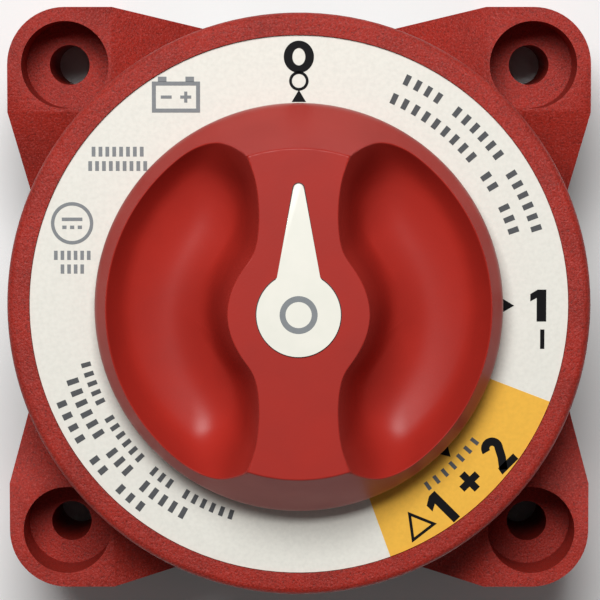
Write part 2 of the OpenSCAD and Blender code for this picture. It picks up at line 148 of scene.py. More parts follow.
# Places of a Mix node's colour sockets: factor, A and B, and the result
MIX_INPUTS = (0, 6, 7)
MIX_OUTPUT = 2


class Look:
    """A node material that is put together step by step."""

    def __init__(self, name, colour, roughness, **settings):
        self.material = bpy.data.materials.new(name)
        self.material.use_nodes = True
        self.tree = self.material.node_tree
        self.tree.nodes.clear()
        output = self.node("ShaderNodeOutputMaterial")
        self.surface = self.node("ShaderNodeBsdfPrincipled")
        self.join(self.surface.outputs["BSDF"], output.inputs["Surface"])
        self.set("Base Color", (*colour, 1))
        self.set("Roughness", roughness)
        for socket, value in settings.items():
            self.set(socket.replace("_", " "), value)
        self.place = self.node("ShaderNodeTexCoord").outputs["Object"]

    def node(self, kind, **settings):
        made = self.tree.nodes.new(kind)
        for key, value in settings.items():
            setattr(made, key, value)
        return made

    def join(self, source, target):
        self.tree.links.new(source, target)

    def set(self, socket, value):
        self.surface.inputs[socket].default_value = value

    def noise(self, size, detail=2.0, roughness=0.5, place=None):
        """Noise whose blotches are about size across."""
        made = self.node("ShaderNodeTexNoise")
        self.join(place or self.place, made.inputs["Vector"])
        made.inputs["Scale"].default_value = 1 / size
        made.inputs["Detail"].default_value = detail
        made.inputs["Roughness"].default_value = roughness
        return made.outputs["Fac"]

    def stretched(self, scale):
        """The object's coordinates, scaled by axis."""
        made = self.node("ShaderNodeMapping")
        self.join(self.place, made.inputs["Vector"])
        made.inputs["Scale"].default_value = scale
        return made.outputs["Vector"]

    def range(self, value, low, high, to_low=0.0, to_high=1.0):
        made = self.node("ShaderNodeMapRange")
        self.join(value, made.inputs["Value"])
        for socket, number in (("From Min", low), ("From Max", high),
                               ("To Min", to_low), ("To Max", to_high)):
            made.inputs[socket].default_value = number
        return made.outputs["Result"]

    def edge(self, low=0.52, high=0.62):
        """Rises to 1 on convex edges."""
        point = self.node("ShaderNodeNewGeometry").outputs["Pointiness"]
        return self.range(point, low, high)

    def times(self, value, share):
        made = self.node("ShaderNodeMath", operation="MULTIPLY")
        self.join(value, made.inputs[0])
        made.inputs[1].default_value = share
        return made.outputs[0]

    def blend(self, factor, base, over):
        """base where factor is 0 and over where it is 1; base is a colour or a socket."""
        made = self.node("ShaderNodeMix", data_type="RGBA")
        factor_in, base_in, over_in = (made.inputs[place] for place in MIX_INPUTS)
        self.join(factor, factor_in)
        if isinstance(base, tuple):
            base_in.default_value = (*base, 1)
        else:
            self.join(base, base_in)
        over_in.default_value = (*over, 1)
        return made.outputs[MIX_OUTPUT]

    def colour(self, socket):
        self.join(socket, self.surface.inputs["Base Color"])

    def rough(self, socket):
        self.join(socket, self.surface.inputs["Roughness"])

    def bump(self, height, distance, strength, before=None):
        made = self.node("ShaderNodeBump")
        made.inputs["Strength"].default_value = strength
        made.inputs["Distance"].default_value = distance
        self.join(height, made.inputs["Height"])
        if before:
            self.join(before, made.inputs["Normal"])
        self.join(made.outputs["Normal"], self.surface.inputs["Normal"])
        return made.outputs["Normal"]


def grained_red():
    """Housing plastic: a fine grain of pale and dark specks over mottled red."""
    look = Look("housing_plastic", RED, 0.42, Specular_IOR_Level=0.2)
    fine = look.noise(0.42 * MM, 3.0, 0.7)
    speck = look.noise(0.34 * MM, 4.0, 0.8)
    broad = look.noise(9 * MM, 3.0)
    tint = look.blend(look.range(broad, 0.40, 0.75, 0.0, 0.45), RED, RED_DARK)
    tint = look.blend(look.range(fine, 0.50, 0.33, 0.0, 0.75), tint, RED_DARK)
    tint = look.blend(look.range(speck, 0.50, 0.72, 0.0, 0.75), tint, RED_LIGHT)
    look.colour(tint)
    look.rough(look.range(fine, 0.3, 0.7, 0.34, 0.52))
    soft = look.bump(look.noise(1.6 * MM, 2.0), 0.05 * MM, 0.5)
    look.bump(fine, 0.19 * MM, 1.0, soft)
    return look.material


def smooth_red():
    """Knob plastic: smooth, semi-gloss, with faint handling marks."""
    look = Look("knob_plastic", KNOB_RED, 0.38, Specular_IOR_Level=0.22)
    broad = look.noise(14 * MM, 3.0)
    fine = look.noise(0.30 * MM, 3.0, 0.6)
    tint = look.blend(look.range(broad, 0.3, 0.75), KNOB_RED, KNOB_RED_DARK)
    look.colour(tint)
    look.rough(look.range(broad, 0.3, 0.7, 0.36, 0.44))
    soft = look.bump(broad, 0.15 * MM, 0.15)
    look.bump(fine, 0.025 * MM, 0.35, soft)
    return look.material


def printed(name, colour, roughness, shine=0.05):
    """Ink or film: nearly even colour with a faint mottle and satin sheen."""
    look = Look(name, colour, roughness, Specular_IOR_Level=shine)
    mottle = look.noise(0.7 * MM, 3.0)
    darker = tuple(0.93 * c for c in colour)
    look.colour(look.blend(look.range(mottle, 0.35, 0.7), colour, darker))
    look.rough(look.range(mottle, 0.3, 0.7, roughness - 0.06, roughness + 0.08))
    look.bump(mottle, 0.01 * MM, 0.3)
    return look.material


def ivory_plastic():
    """Pointer insert: warm white plastic with a faint yellowish mottle."""
    look = Look("insert_plastic", IVORY, 0.30, Coat_Weight=0.15)
    mottle = look.noise(4 * MM, 3.0)
    tint = look.blend(look.range(mottle, 0.35, 0.7), IVORY, (0.82, 0.81, 0.72))
    look.colour(tint)
    look.rough(look.range(mottle, 0.3, 0.7, 0.26, 0.38))
    look.bump(look.noise(0.5 * MM, 2.0), 0.01 * MM, 0.3)
    return look.material


def moulded(name, colour, roughness=0.55, grain=0.5 * MM):
    """Glass-filled or rubber moulding: matt, with a grain and paler convex edges."""
    look = Look(name, colour, roughness)
    fine = look.noise(grain, 4.0, 0.6)
    broad = look.noise(7 * MM, 2.0)
    paler = tuple(min(1.0, 2.2 * c + 0.02) for c in colour)
    tint = look.blend(look.range(broad, 0.35, 0.7), colour, tuple(0.75 * c for c in colour))
    tint = look.blend(look.times(look.edge(), 0.5), tint, paler)
    tint = look.blend(look.range(fine, 0.62, 0.75, 0.0, 0.3), tint, paler)
    look.colour(tint)
    look.rough(look.range(fine, 0.3, 0.7, roughness - 0.1, roughness + 0.12))
    look.bump(fine, 0.05 * MM, 0.5)
    return look.material


def metal(name, colour, roughness=0.28, brushed=(1.0, 1.0, 1.0)):
    """Machined metal: fine directional scratches and slight tarnish."""
    look = Look(name, colour, roughness, Metallic=1.0)
    lines = look.noise(0.25 * MM, 3.0, 0.6, look.stretched(brushed))
    stain = look.noise(5 * MM, 4.0)
    dull = tuple(0.62 * c for c in colour)
    look.colour(look.blend(look.range(stain, 0.5, 0.75), colour, dull))
    look.rough(look.range(stain, 0.3, 0.75, roughness - 0.07, roughness + 0.16))
    look.bump(lines, 0.012 * MM, 0.4)
    return look.material


MATERIALS = {
    "housing_plastic": grained_red(),
    "knob_plastic": smooth_red(),
    "label_print": printed("label_film", PAPER, 0.38, 0.2),
    "insert_plastic": ivory_plastic(),
    "steel": metal("turned_steel", (0.56, 0.56, 0.57), 0.30, (1, 1, 9)),
    "stainless": metal("stainless_steel", (0.66, 0.65, 0.63), 0.24, (1, 1, 7)),
    "spring_steel": metal("spring_steel", (0.36, 0.36, 0.38), 0.33),
    "acetal": moulded("white_acetal", (0.78, 0.77, 0.71), 0.38),
    "carrier_plastic": moulded("carrier_plastic", (0.035, 0.036, 0.04)),
    "base_plastic": moulded("base_plastic", CHARCOAL, 0.5, 0.7 * MM),
    "copper": metal("contact_copper", (0.83, 0.40, 0.24), 0.27, (1, 8, 1)),
    "tinned_copper": metal("tinned_copper", (0.74, 0.70, 0.62), 0.30, (1, 1, 6)),
    "rubber": moulded("seal_rubber", (0.012, 0.012, 0.013), 0.62, 0.3 * MM),
}
INKS = {
    "black": printed("ink_black", INK_BLACK, 0.40),
    "dark": printed("ink_dark_grey", INK_DARK, 0.45),
    "grey": printed("ink_grey", INK_GREY, 0.45),
    "yellow": printed("ink_yellow", YELLOW, 0.42),
}


# ---------------------------------------------------------------- mesh helpers

def mesh_object(name, bm, material, smooth=35):
    """Makes an object of a bmesh, shaded smooth but for edges sharper than smooth degrees."""
    bmesh.ops.recalc_face_normals(bm, faces=bm.faces)
    data = bpy.data.meshes.new(name)
    bm.to_mesh(data)
    bm.free()
    made = bpy.data.objects.new(name, data)
    bpy.context.scene.collection.objects.link(made)
    data.materials.append(material)
    data.shade_smooth()
    data.set_sharp_from_angle(angle=radians(smooth))
    return made


def finish_piece(piece, body, slot, *nodes):
    """Rides piece on its body and hides the CAD nodes it stands for; slot is not used."""
    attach(piece, body)
    if nodes:
        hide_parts(*nodes)


def polar(radius, clockwise):
    """A point on the face at an angle counted clockwise from OFF."""
    a = radians(clockwise)
    return Vector((radius * sin(a), radius * cos(a)))


def ring_of(bm, points):
    return [bm.verts.new(p) for p in points]


def stitch(bm, row, next_row):
    """Quads between two closed rows of vertices of the same length."""
    for i in range(len(row)):
        j = (i + 1) % len(row)
        bm.faces.new((row[i], row[j], next_row[j], next_row[i]))


def prism(bm, outline, low, high, bevel=0.0):
    """Upright prism on an outline of (x, y) points, its top edge rounded by bevel."""
    bottom = ring_of(bm, [(x, y, low) for x, y in outline])
    top = ring_of(bm, [(x, y, high) for x, y in outline])
    stitch(bm, bottom, top)
    bm.faces.new(bottom)
    lid = bm.faces.new(top)
    if bevel:
        bmesh.ops.bevel(bm, geom=list(lid.edges), offset=bevel, segments=3, profile=0.5,
                        affect="EDGES", clamp_overlap=False)


def band(bm, outer, inner, low, high):
    """Upright prism with a hole; both outlines have the same number of points."""
    loops = [ring_of(bm, [(x, y, z) for x, y in points])
             for points, z in ((outer, low), (outer, high), (inner, high), (inner, low))]
    for row, next_row in zip(loops, loops[1:] + loops[:1]):
        stitch(bm, row, next_row)


def ellipse_points(half_w, half_h, count=64):
    return [(half_w * cos(2 * pi * i / count), half_h * sin(2 * pi * i / count))
            for i in range(count)]


def circle_points(radius):
    return ellipse_points(radius, radius)


def box_points(half_w, half_h):
    return [(-half_w, -half_h), (half_w, -half_h), (half_w, half_h), (-half_w, half_h)]


# ---------------------------------------------------------------- knob

def smaller(a, b, blend):
    """The smaller of a and b, rounded where they meet."""
    return 0.5 * (a + b - sqrt((a - b) ** 2 + blend ** 2))


def trimmed(a, b, blend):
    """The smaller of a and b, rounded only where they differ by less than blend."""
    near = max(0.0, 1 - abs(a - b) / blend)
    return min(a, b) - near * near * blend / 4


def bar_distance(x, y):
    """Distance from the grip's side, positive inside the scoop at negative x."""
    upper = LOBE_R - hypot(x + LOBE_R + WAIST_HALF, y - LOBE_Y)
    lower = LOBE_R - hypot(x + LOBE_R + WAIST_HALF, y + LOBE_Y)
    past_boss = hypot(x, y) - BOSS_R
    lobes = -smaller(-upper, -lower, LOBE_BLEND + LOBE_BLEND_RISE * max(0.0, past_boss))
    return smaller(lobes, past_boss, BOSS_BLEND)


def rim_distance(x, y):
    """Distance from the scoop's outer edge along the rim."""
    return RIM_R - RIM_W - hypot(x, y)


def scoop_distance(x, y):
    """Distance from the scoop's edge, positive inside; its two corners are rounded."""
    return trimmed(bar_distance(x, y), rim_distance(x, y), CORNER_BLEND)


def slope_height(radius):
    """Height of the straight slope between the flat top and the rim, if it went on."""
    return RIM_Z + (KNOB_TOP - RIM_Z) / (RIM_R - TOP_R) * (RIM_R - radius)


def dome_height(radius):
    """Height of the knob before its scoops: flat top, then the slope to the rim."""
    return trimmed(KNOB_TOP, slope_height(radius), EDGE_BLEND)


def share_left(distance, run, power):
    """Share of a wall's height that is left at a distance from its edge."""
    return min(1.0, max(0.0, 1 - distance / run)) ** power


def knob_height(x, y):
    """Height of the knob's upper surface, the same on both sides of the grip.

    A steep plane falls from the grip's edge and meets the bowl in a fillet. The bowl
    rises again towards the grip and towards the rim.
    """
    x = -abs(x)
    radius = hypot(x, y)
    top = dome_height(radius)
    wall = trimmed(KNOB_TOP, slope_height(radius), WALL_BLEND)
    wall -= BAR_STEEPNESS * scoop_distance(x, y)
    bar = BAR_SHARE * share_left(bar_distance(x, y), BAR_RUN, BAR_POWER)
    from_rim = rim_distance(x, y)
    rim = RIM_SHARE * share_left(from_rim, RIM_RUN, RIM_POWER)
    rim += (1 - RIM_SHARE) * share_left(from_rim, RIM_STEEP_RUN, RIM_STEEP_POWER)
    rim_rise = dome_height(RIM_R - RIM_W) - FLOOR_Z
    bowl = FLOOR_Z + (KNOB_TOP - FLOOR_Z) * bar + rim_rise * rim
    return trimmed(top, -trimmed(-wall, -bowl, FILLET), TOP_BLEND)


def surface_normal(point, step=0.02 * MM):
    """Normal of the knob's upper surface, from its slopes along X and Y."""
    x, y = point.x, point.y
    along_x = knob_height(x - step, y) - knob_height(x + step, y)
    along_y = knob_height(x, y - step) - knob_height(x, y + step)
    return Vector((along_x, along_y, 2 * step)).normalized()


def reach(start, angle, inside, steps=40):
    """How far from start, at an angle, inside() stays positive."""
    low, high = 0.0, 80 * MM
    for _ in range(steps):
        mid = (low + high) / 2
        if inside(start[0] + mid * cos(angle), start[1] + mid * sin(angle)) > 0:
            low = mid
        else:
            high = mid
    return low


def ray_angles(corner, rays):
    """Even angles, but closer together round corner and its mirror image, -corner.

    The edge of the flat top leaves the half there, and wide steps would cut across it.
    """
    near = radians(0.4)
    steps = [radians(step) for step in (-0.3, -0.15, -0.06, 0.0, 0.06, 0.15, 0.3)]
    angles = []
    for i in range(rays):
        angle = 2 * pi * i / rays
        if min(abs(angle - corner), abs(2 * pi - angle - corner)) > near:
            angles.append(angle)
    for step in steps:
        angles += [corner + step, 2 * pi - corner - step]
    return sorted(angles)


def knob_half(bm, shoulder_r, rays=480):
    """Upper surface of the half at negative x.

    Rays leave the scoop's middle. On each, rows of vertices stand closest together at
    the scoop's edge, at the knee where the flat top ends, and at the half's own edge.
    """
    to_edge = (0.02, 0.05, 0.10, 0.18, 0.28, 0.39, 0.49, 0.58, 0.66, 0.73, 0.79, 0.84, 0.88,
               0.91, 0.932, 0.95, 0.964, 0.975, 0.983, 0.989, 0.994, 0.998)
    to_knee = (0.0, 0.012, 0.03, 0.07, 0.15, 0.3, 0.5, 0.7, 0.85, 0.93, 0.97, 0.985, 1.0)
    to_wall = (0.015, 0.03, 0.07, 0.15, 0.3, 0.5, 0.75, 1.0)
    least_room = 0.01
    middle_x, middle_y = SCOOP_MIDDLE
    angles = ray_angles(atan2(TOP_R, -middle_x), rays)
    hub = bm.verts.new((middle_x, middle_y, knob_height(middle_x, middle_y)))
    rows = [[] for _ in to_edge + to_knee + to_wall]
    for a in angles:
        edge = reach(SCOOP_MIDDLE, a, scoop_distance)
        wall = reach(SCOOP_MIDDLE, a, lambda x, y: min(-x, shoulder_r - hypot(x, y)))
        flat = reach(SCOOP_MIDDLE, a, lambda x, y: TOP_R - hypot(x, y))
        room = least_room * (wall - edge)
        knee = min(max(flat, edge + room), wall - room)
        distances = [edge * share for share in to_edge]
        distances += [edge + (knee - edge) * share for share in to_knee]
        distances += [knee + (wall - knee) * share for share in to_wall]
        for row, far in zip(rows, distances):
            x, y = middle_x + far * cos(a), middle_y + far * sin(a)
            row.append(bm.verts.new((x, y, knob_height(x, y))))
    for i, vertex in enumerate(rows[0]):
        bm.faces.new((hub, vertex, rows[0][(i + 1) % len(angles)]))
    for row, next_row in zip(rows, rows[1:]):
        stitch(bm, row, next_row)


def mirror_half(bm):
    """Adds the mirror image in X and joins both halves along X = 0."""
    touching = 0.001 * MM
    other = bmesh.ops.duplicate(bm, geom=bm.verts[:] + bm.edges[:] + bm.faces[:])
    for v in other["geom"]:
        if isinstance(v, bmesh.types.BMVert):
            v.co.x = -v.co.x
    middle = [v for v in bm.verts if abs(v.co.x) < touching]
    for v in middle:
        v.co.x = 0.0
    bmesh.ops.remove_doubles(bm, verts=middle, dist=touching)


def knob_skirt(bm, shoulder_z):
    """Closes the knob's upper surface with a round shoulder, a skirt and a hollow."""
    loose = {v for e in bm.edges if e.is_boundary for v in e.verts}
    last = sorted(loose, key=lambda v: atan2(v.co.y, v.co.x))
    for radius, z in ((RIM_R - 0.42 * MM, shoulder_z - 0.75 * MM),
                      (RIM_R - 0.14 * MM, shoulder_z - 1.6 * MM),
                      (RIM_R, shoulder_z - 2.8 * MM),
                      (RIM_R, SKIRT_Z + SKIRT_EDGE),
                      (RIM_R - 0.15 * MM, SKIRT_Z + 0.12 * MM),
                      (RIM_R - SKIRT_EDGE, SKIRT_Z),
                      (RIM_R - SKIRT_WALL, SKIRT_Z),
                      (RIM_R - SKIRT_WALL, CEILING_Z)):
        row = []
        for v in last:
            a = atan2(v.co.y, v.co.x)
            row.append(bm.verts.new((radius * cos(a), radius * sin(a), z)))
        stitch(bm, last, row)
        last = row
    pole = bm.verts.new((0, 0, CEILING_Z))
    for i, v in enumerate(last):
        bm.faces.new((pole, v, last[(i + 1) % len(last)]))


def build_knob():
    """The knob; its upper surface is shaded by its formula's own normals."""
    shoulder_r = RIM_R - SHOULDER_IN
    shoulder_z = dome_height(shoulder_r)
    bm = bmesh.new()
    knob_half(bm, shoulder_r)
    mirror_half(bm)
    knob_skirt(bm, shoulder_z)
    knob = mesh_object("knob_grip", bm, MATERIALS["knob_plastic"], 80)
    from_mesh = (0, 0, 0)
    normals = []
    for v in knob.data.vertices:
        above = v.co.z > shoulder_z + 0.01 * MM
        normals.append(surface_normal(v.co) if above else from_mesh)
    knob.data.normals_split_custom_set_from_vertices(normals)
    finish_piece(knob, KNOB, "knob_plastic", "knob")


def pointer_points(grow=0.0, disc_steps=72, tip_steps=16):
    """Outline of the pointer and its disc, grown by grow all round."""
    neck = POINTER_NECK + grow
    tip = POINTER_TIP_R + grow
    disc = DISC_R + grow
    tip_y = POINTER_REACH - POINTER_TIP_R
    start = asin(neck / disc)
    points = []
    for i in range(disc_steps + 1):
        a = start + (2 * pi - 2 * start) * i / disc_steps
        points.append((disc * sin(a), disc * cos(a)))
    for i in range(tip_steps + 1):
        a = pi * i / tip_steps
        points.append((-tip * cos(a), tip_y + tip * sin(a)))
    return points


def build_pointer():
    """Ivory pointer, set proud in the grip with a black band of painted shadow round it,
    standing in for a groove, and a ring on its disc.
    """
    bm = bmesh.new()
    prism(bm, pointer_points(), INSERT_Z - POINTER_DEPTH, INSERT_Z, bevel=0.22 * MM)
    piece = mesh_object("pointer", bm, MATERIALS["insert_plastic"], 50)
    finish_piece(piece, KNOB, "insert_plastic", "pointer_insert")
    # Black band just above the grip's top round the pointer: painted shadow of a groove, not a
    # real part
    bm = bmesh.new()
    prism(bm, pointer_points(POINTER_SHADOW_WIDTH), KNOB_TOP - 0.4 * MM, KNOB_TOP + 0.03 * MM)
    gap = mesh_object("pointer_gap", bm, MATERIALS["rubber"], 50)
    finish_piece(gap, KNOB, "knob_plastic")
    bm = bmesh.new()
    outer, inner = (circle_points(radius) for radius in DISC_RING)
    band(bm, outer, inner, INSERT_Z - 0.1 * MM, INSERT_Z + 0.02 * MM)
    ring = mesh_object("pointer_disc_ring", bm, INKS["grey"], 40)
    finish_piece(ring, KNOB, "insert_plastic")


# ---------------------------------------------------------------- label print

PRINT_T = 0.03 * MM             # height of one level above the label
PRINT_SUNK = 0.1 * MM           # depth of the marks in the label
ON_TURN, BOTH_TURN = 90, 135    # stops, clockwise from OFF
YELLOW_FROM, YELLOW_TO = 111, 160

# Rows of blocks on arcs: radius, clockwise angles from and to, letters in each word,
# height and the share of each letter's room that its block fills; lengths in mm
ARC_ROWS = ((43.6, 25, 74, (4, 6, 6), 1.9, 0.46),
            (39.7, 24, 73, (9, 2, 3), 1.9, 0.46),
            (38.7, 255, 196, (5, 6, 3, 6), 1.7, 0.46),
            (41.8, 252, 207, (6, 3, 5), 2.1, 0.46),
            (45.0, 248, 216, (4, 2, 3), 1.7, 0.46),
            (39.0, 145, 125.5, (7,), 1.6, 0.36))

# Straight rows of blocks: middle x and y, number, pitch and height, in mm
LINE_ROWS = ((-31.6, 26.9, 8, 1.2, 1.7),
             (-31.6, 24.4, 9, 1.2, 1.7),
             (-39.6, 8.8, 6, 1.15, 1.6),
             (-39.6, 6.4, 4, 1.15, 1.6))


class Print:
    """Flat marks of one ink on the label, gathered into one piece; level 2 lies on level 1."""

    def __init__(self, name, ink, level=2):
        self.name = name
        self.ink = ink
        self.level = level
        self.bm = bmesh.new()

    def shape(self, outline):
        prism(self.bm, outline, LABEL_Z - PRINT_SUNK, LABEL_Z + self.level * PRINT_T)

    def band(self, outer, inner):
        band(self.bm, outer, inner, LABEL_Z - PRINT_SUNK, LABEL_Z + self.level * PRINT_T)

    def sector(self, r_in, r_out, from_angle, to_angle, steps=24):
        """Part of a flat ring, between two clockwise angles."""
        turn = [from_angle + (to_angle - from_angle) * i / steps for i in range(steps + 1)]
        points = [polar(r_out, a) for a in turn] + [polar(r_in, a) for a in reversed(turn)]
        self.shape([(p.x, p.y) for p in points])

    def done(self):
        piece = mesh_object(self.name, self.bm, INKS[self.ink], 40)
        finish_piece(piece, CASE, "label_print")


def turned(points, at, clockwise):
    """Points moved to at and turned clockwise."""
    turn = Matrix.Rotation(-radians(clockwise), 2)
    return [tuple(turn @ Vector(p) + at) for p in points]


def triangle_points(half, height):
    return [(-half, 0.0), (half, 0.0), (0.0, height)]


def bar_points(width, height):
    return box_points(width / 2, height / 2)


def stroke_points(line, width):
    """Outline of a pen stroke of that width along a line of points."""
    left, right = [], []
    for i, point in enumerate(line):
        before, after = line[max(0, i - 1)], line[min(len(line) - 1, i + 1)]
        along = (Vector(after) - Vector(before)).normalized()
        side = Vector((-along.y, along.x)) * width / 2
        left.append(tuple(Vector(point) + side))
        right.append(tuple(Vector(point) - side))
    return left + right[::-1]


def scaled(points, height):
    return [(x * height, y * height) for x, y in points]


# Each sign is drawn in a square of side 1, and weight is its stroke's share of the height.

def zero(ink, at, height, clockwise, weight):
    """Bold 0, wide and round."""
    outer = ellipse_points(0.47, 0.5)
    inner = ellipse_points(0.47 - weight, 0.5 - weight * 0.86)
    ink.band(turned(scaled(outer, height), at, clockwise),
             turned(scaled(inner, height), at, clockwise))


def one(ink, at, height, clockwise, weight=0.24):
    """Bold 1 with a short flag."""
    right, left = 0.12, 0.12 - weight
    points = [(left, -0.5), (right, -0.5), (right, 0.5), (left + 0.03, 0.5),
              (left - 0.20, 0.36), (left - 0.20, 0.13), (left, 0.24)]
    ink.shape(turned(scaled(points, height), at, clockwise))


def two(ink, at, height, clockwise, weight=0.23):
    """Bold 2: a bow, a slanting stroke and a foot."""
    bow = 0.5 - 0.27
    radius = 0.27 - weight / 2 + 0.03
    line = [(radius * cos(radians(a)), bow - 0.015 + radius * sin(radians(a)))
            for a in range(170, -41, -10)]
    line += [(0.02, -0.14), (-0.19, -0.42)]
    ink.shape(turned(scaled(stroke_points(line, weight), height), at, clockwise))
    foot_top = -0.5 + weight * 0.9
    foot = [(-0.31, -0.5), (0.31, -0.5), (0.31, foot_top), (-0.27, foot_top)]
    ink.shape(turned(scaled(foot, height), at, clockwise))


def plus(ink, at, height, clockwise, weight=0.2):
    """Bold plus sign."""
    arm, half = 0.30, weight / 2
    quarter = [(half, half), (arm, half), (arm, -half)]
    points = []
    for turn in (0, 90, 180, 270):
        c, k = round(cos(radians(-turn))), round(sin(radians(-turn)))
        points += [(x * c - y * k, x * k + y * c) for x, y in quarter]
    ink.shape(turned(scaled(points, height), at, clockwise))


def letter_row(ink, radius, from_angle, to_angle, words, height, fill):
    """A line of print along an arc, with one small block in place of each letter."""
    count = sum(words) + len(words) - 1
    unit = (to_angle - from_angle) / count
    start = from_angle
    for word in words:
        for _ in range(word):
            ink.sector(radius - height / 2, radius + height / 2,
                       start, start + fill * unit, steps=2)
            start += unit
        start += unit


def letter_line(ink, at, count, pitch, height, fill=0.55):
    """The same thing along a straight line centred on at."""
    for i in range(count):
        place = at + Vector(((i - (count - 1) / 2) * pitch, 0))
        ink.shape(turned(bar_points(fill * pitch, height), place, 0))


def build_yellow_sector():
    """The label's yellow part, behind 1 + 2."""
    yellow = Print("print_yellow_sector", "yellow", 1)
    yellow.sector(RIM_R - 1 * MM, LABEL_R - 0.02 * MM, YELLOW_FROM, YELLOW_TO, steps=60)
    yellow.done()


def build_black_marks():
    """Dial numbers, stop marks, the switch symbols and an empty triangle."""
    black = Print("print_black_marks", "black")
    zero(black, polar(43.4 * MM, 0), height=5.6 * MM, clockwise=0, weight=0.27)
    one(black, polar(42.6 * MM, ON_TURN), height=5.6 * MM, clockwise=0, weight=0.30)
    tilt = BOTH_TURN - 180
    for sign, across in ((one, -7.0), (plus, -0.7), (two, 6.2)):
        along = Vector((across * cos(radians(-tilt)), across * sin(radians(-tilt)))) * MM
        sign(black, polar(43.1 * MM, BOTH_TURN) + along, height=6.4 * MM, clockwise=tilt)
    for stop in (0, ON_TURN, BOTH_TURN):
        black.shape(turned(triangle_points(1.25 * MM, 2.1 * MM),
                           polar(RIM_R + 0.15 * MM, stop), stop))
    off_symbol = polar(39.2 * MM, 0)
    black.band(turned(circle_points(1.7 * MM), off_symbol, 0),
               turned(circle_points(1.2 * MM), off_symbol, 0))
    on_symbol = Vector((42.6 * MM, -5.9 * MM))
    black.shape(turned(bar_points(0.75 * MM, 3.4 * MM), on_symbol, 0))
    triangle_at = polar(44.2 * MM, 151.5)
    triangle_turn = -38
    outer = scaled([(cos(radians(a)), sin(radians(a))) for a in (90, 210, 330)], 3.2 * MM)
    inner = scaled(outer, 0.68)
    black.band(turned(outer, triangle_at, triangle_turn),
               turned(inner, triangle_at, triangle_turn))
    black.done()


def build_dark_rows():
    """Rows of blocks on arcs, in place of small print."""
    dark = Print("print_dark_rows", "dark")
    for radius, from_angle, to_angle, words, height, fill in ARC_ROWS:
        letter_row(dark, radius * MM, from_angle, to_angle, words, height * MM, fill)
    dark.done()


def battery_symbol(ink, at):
    """Outline of a battery with its two posts, a minus and a plus."""
    ink.band(turned(box_points(4.2 * MM, 2.7 * MM), at, 0),
             turned(box_points(3.5 * MM, 2.0 * MM), at, 0))
    for across in (-2.4 * MM, 2.4 * MM):
        ink.shape(turned(bar_points(1.5 * MM, 0.9 * MM), at + Vector((across, 3.1 * MM)), 0))
    ink.shape(turned(bar_points(1.9 * MM, 0.55 * MM), at - Vector((1.7 * MM, 0)), 0))
    plus(ink, at + Vector((1.7 * MM, 0)), height=3.2 * MM, clockwise=0, weight=0.17)


def direct_current_symbol(ink, at):
    """A line over three dashes, in a circle."""
    ink.band(turned(circle_points(3.7 * MM), at, 0), turned(circle_points(3.1 * MM), at, 0))
    ink.shape(turned(bar_points(3.6 * MM, 0.6 * MM), at + Vector((0, 0.7 * MM)), 0))
    dashes_at = at - Vector((0, 0.7 * MM))
    letter_line(ink, dashes_at, count=3, pitch=1.35 * MM, height=0.6 * MM)


def build_grey_marks():
    """General symbols and straight rows of blocks."""
    grey = Print("print_grey_marks", "grey")
    battery_symbol(grey, Vector((-21.4 * MM, 36.4 * MM)))
    direct_current_symbol(grey, Vector((-39.6 * MM, 14.4 * MM)))
    for x, y, count, pitch, height in LINE_ROWS:
        letter_line(grey, Vector((x * MM, y * MM)), count, pitch * MM, height * MM)
    grey.done()


# ---------------------------------------------------------------- fasteners

def thread(bm, centre, radius, low, high, pitch, segments=40):
    """Closed threaded bar: a helical ridge that fades out at both ends."""
    depth = 0.61 * pitch
    fade = 0.7 * pitch
    crest = 1.15                # over 1, so that the ridge has a narrow flat crest
    steps = max(8, round((high - low) / pitch * 10))
    rows = []
    for k in range(steps + 1):
        z = low + (high - low) * k / steps
        end = min(1.0, (z - low) / fade, (high - z) / fade)
        row = []
        for i in range(segments):
            turn = i / segments
            phase = (z / pitch - turn) % 1.0
            ridge = 1 - abs(2 * phase - 1)
            r = radius - depth + depth * min(1.0, crest * ridge) * max(0.0, end)
            row.append((centre.x + r * cos(2 * pi * turn), centre.y + r * sin(2 * pi * turn), z))
        rows.append(ring_of(bm, row))
    for row, next_row in zip(rows, rows[1:]):
        stitch(bm, row, next_row)
    bm.faces.new(rows[0])
    bm.faces.new(rows[-1])


def build_terminals():
    """Each terminal's CAD solid down into its nut, and a threaded stud below that."""
    for name, angle in STUDS.items():
        low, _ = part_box(name)
        bm = bmesh.new()
        bm.from_mesh(frame["nodes"][name].data)
        cut = Vector((0, 0, NUTS_LOW.z + 0.3 * MM))
        sliced = bmesh.ops.bisect_plane(bm, geom=bm.verts[:] + bm.edges[:] + bm.faces[:],
                                        plane_co=cut, plane_no=(0, 0, 1), clear_inner=True)
        rim = [e for e in sliced["geom_cut"] if isinstance(e, bmesh.types.BMEdge)]
        bmesh.ops.contextual_create(bm, geom=rim)
        into_plate = cut.z + 0.4 * MM
        thread(bm, polar(STUD_AT, angle), STUD_R, low.z, into_plate, THREAD_PITCH)
        piece = mesh_object(name + "_threaded", bm, MATERIALS["tinned_copper"], 45)
        finish_piece(piece, CASE, "tinned_copper", name)


def nut_row(bm, angle, radius, z, droop=0.0, count=72):
    """Row round a nut at z: a circle, or the hexagon without a radius, its corners drooping."""
    at = polar(STUD_AT, angle)
    points = []
    for i in range(count):
        a = 2 * pi * i / count
        side = (a % (pi / 3)) - pi / 6
        r = radius or NUT_HALF / cos(side)
        points.append((at.x + r * cos(a - radians(angle)), at.y + r * sin(a - radians(angle)),
                       z + droop * (r - NUT_HALF)))
    return ring_of(bm, points)


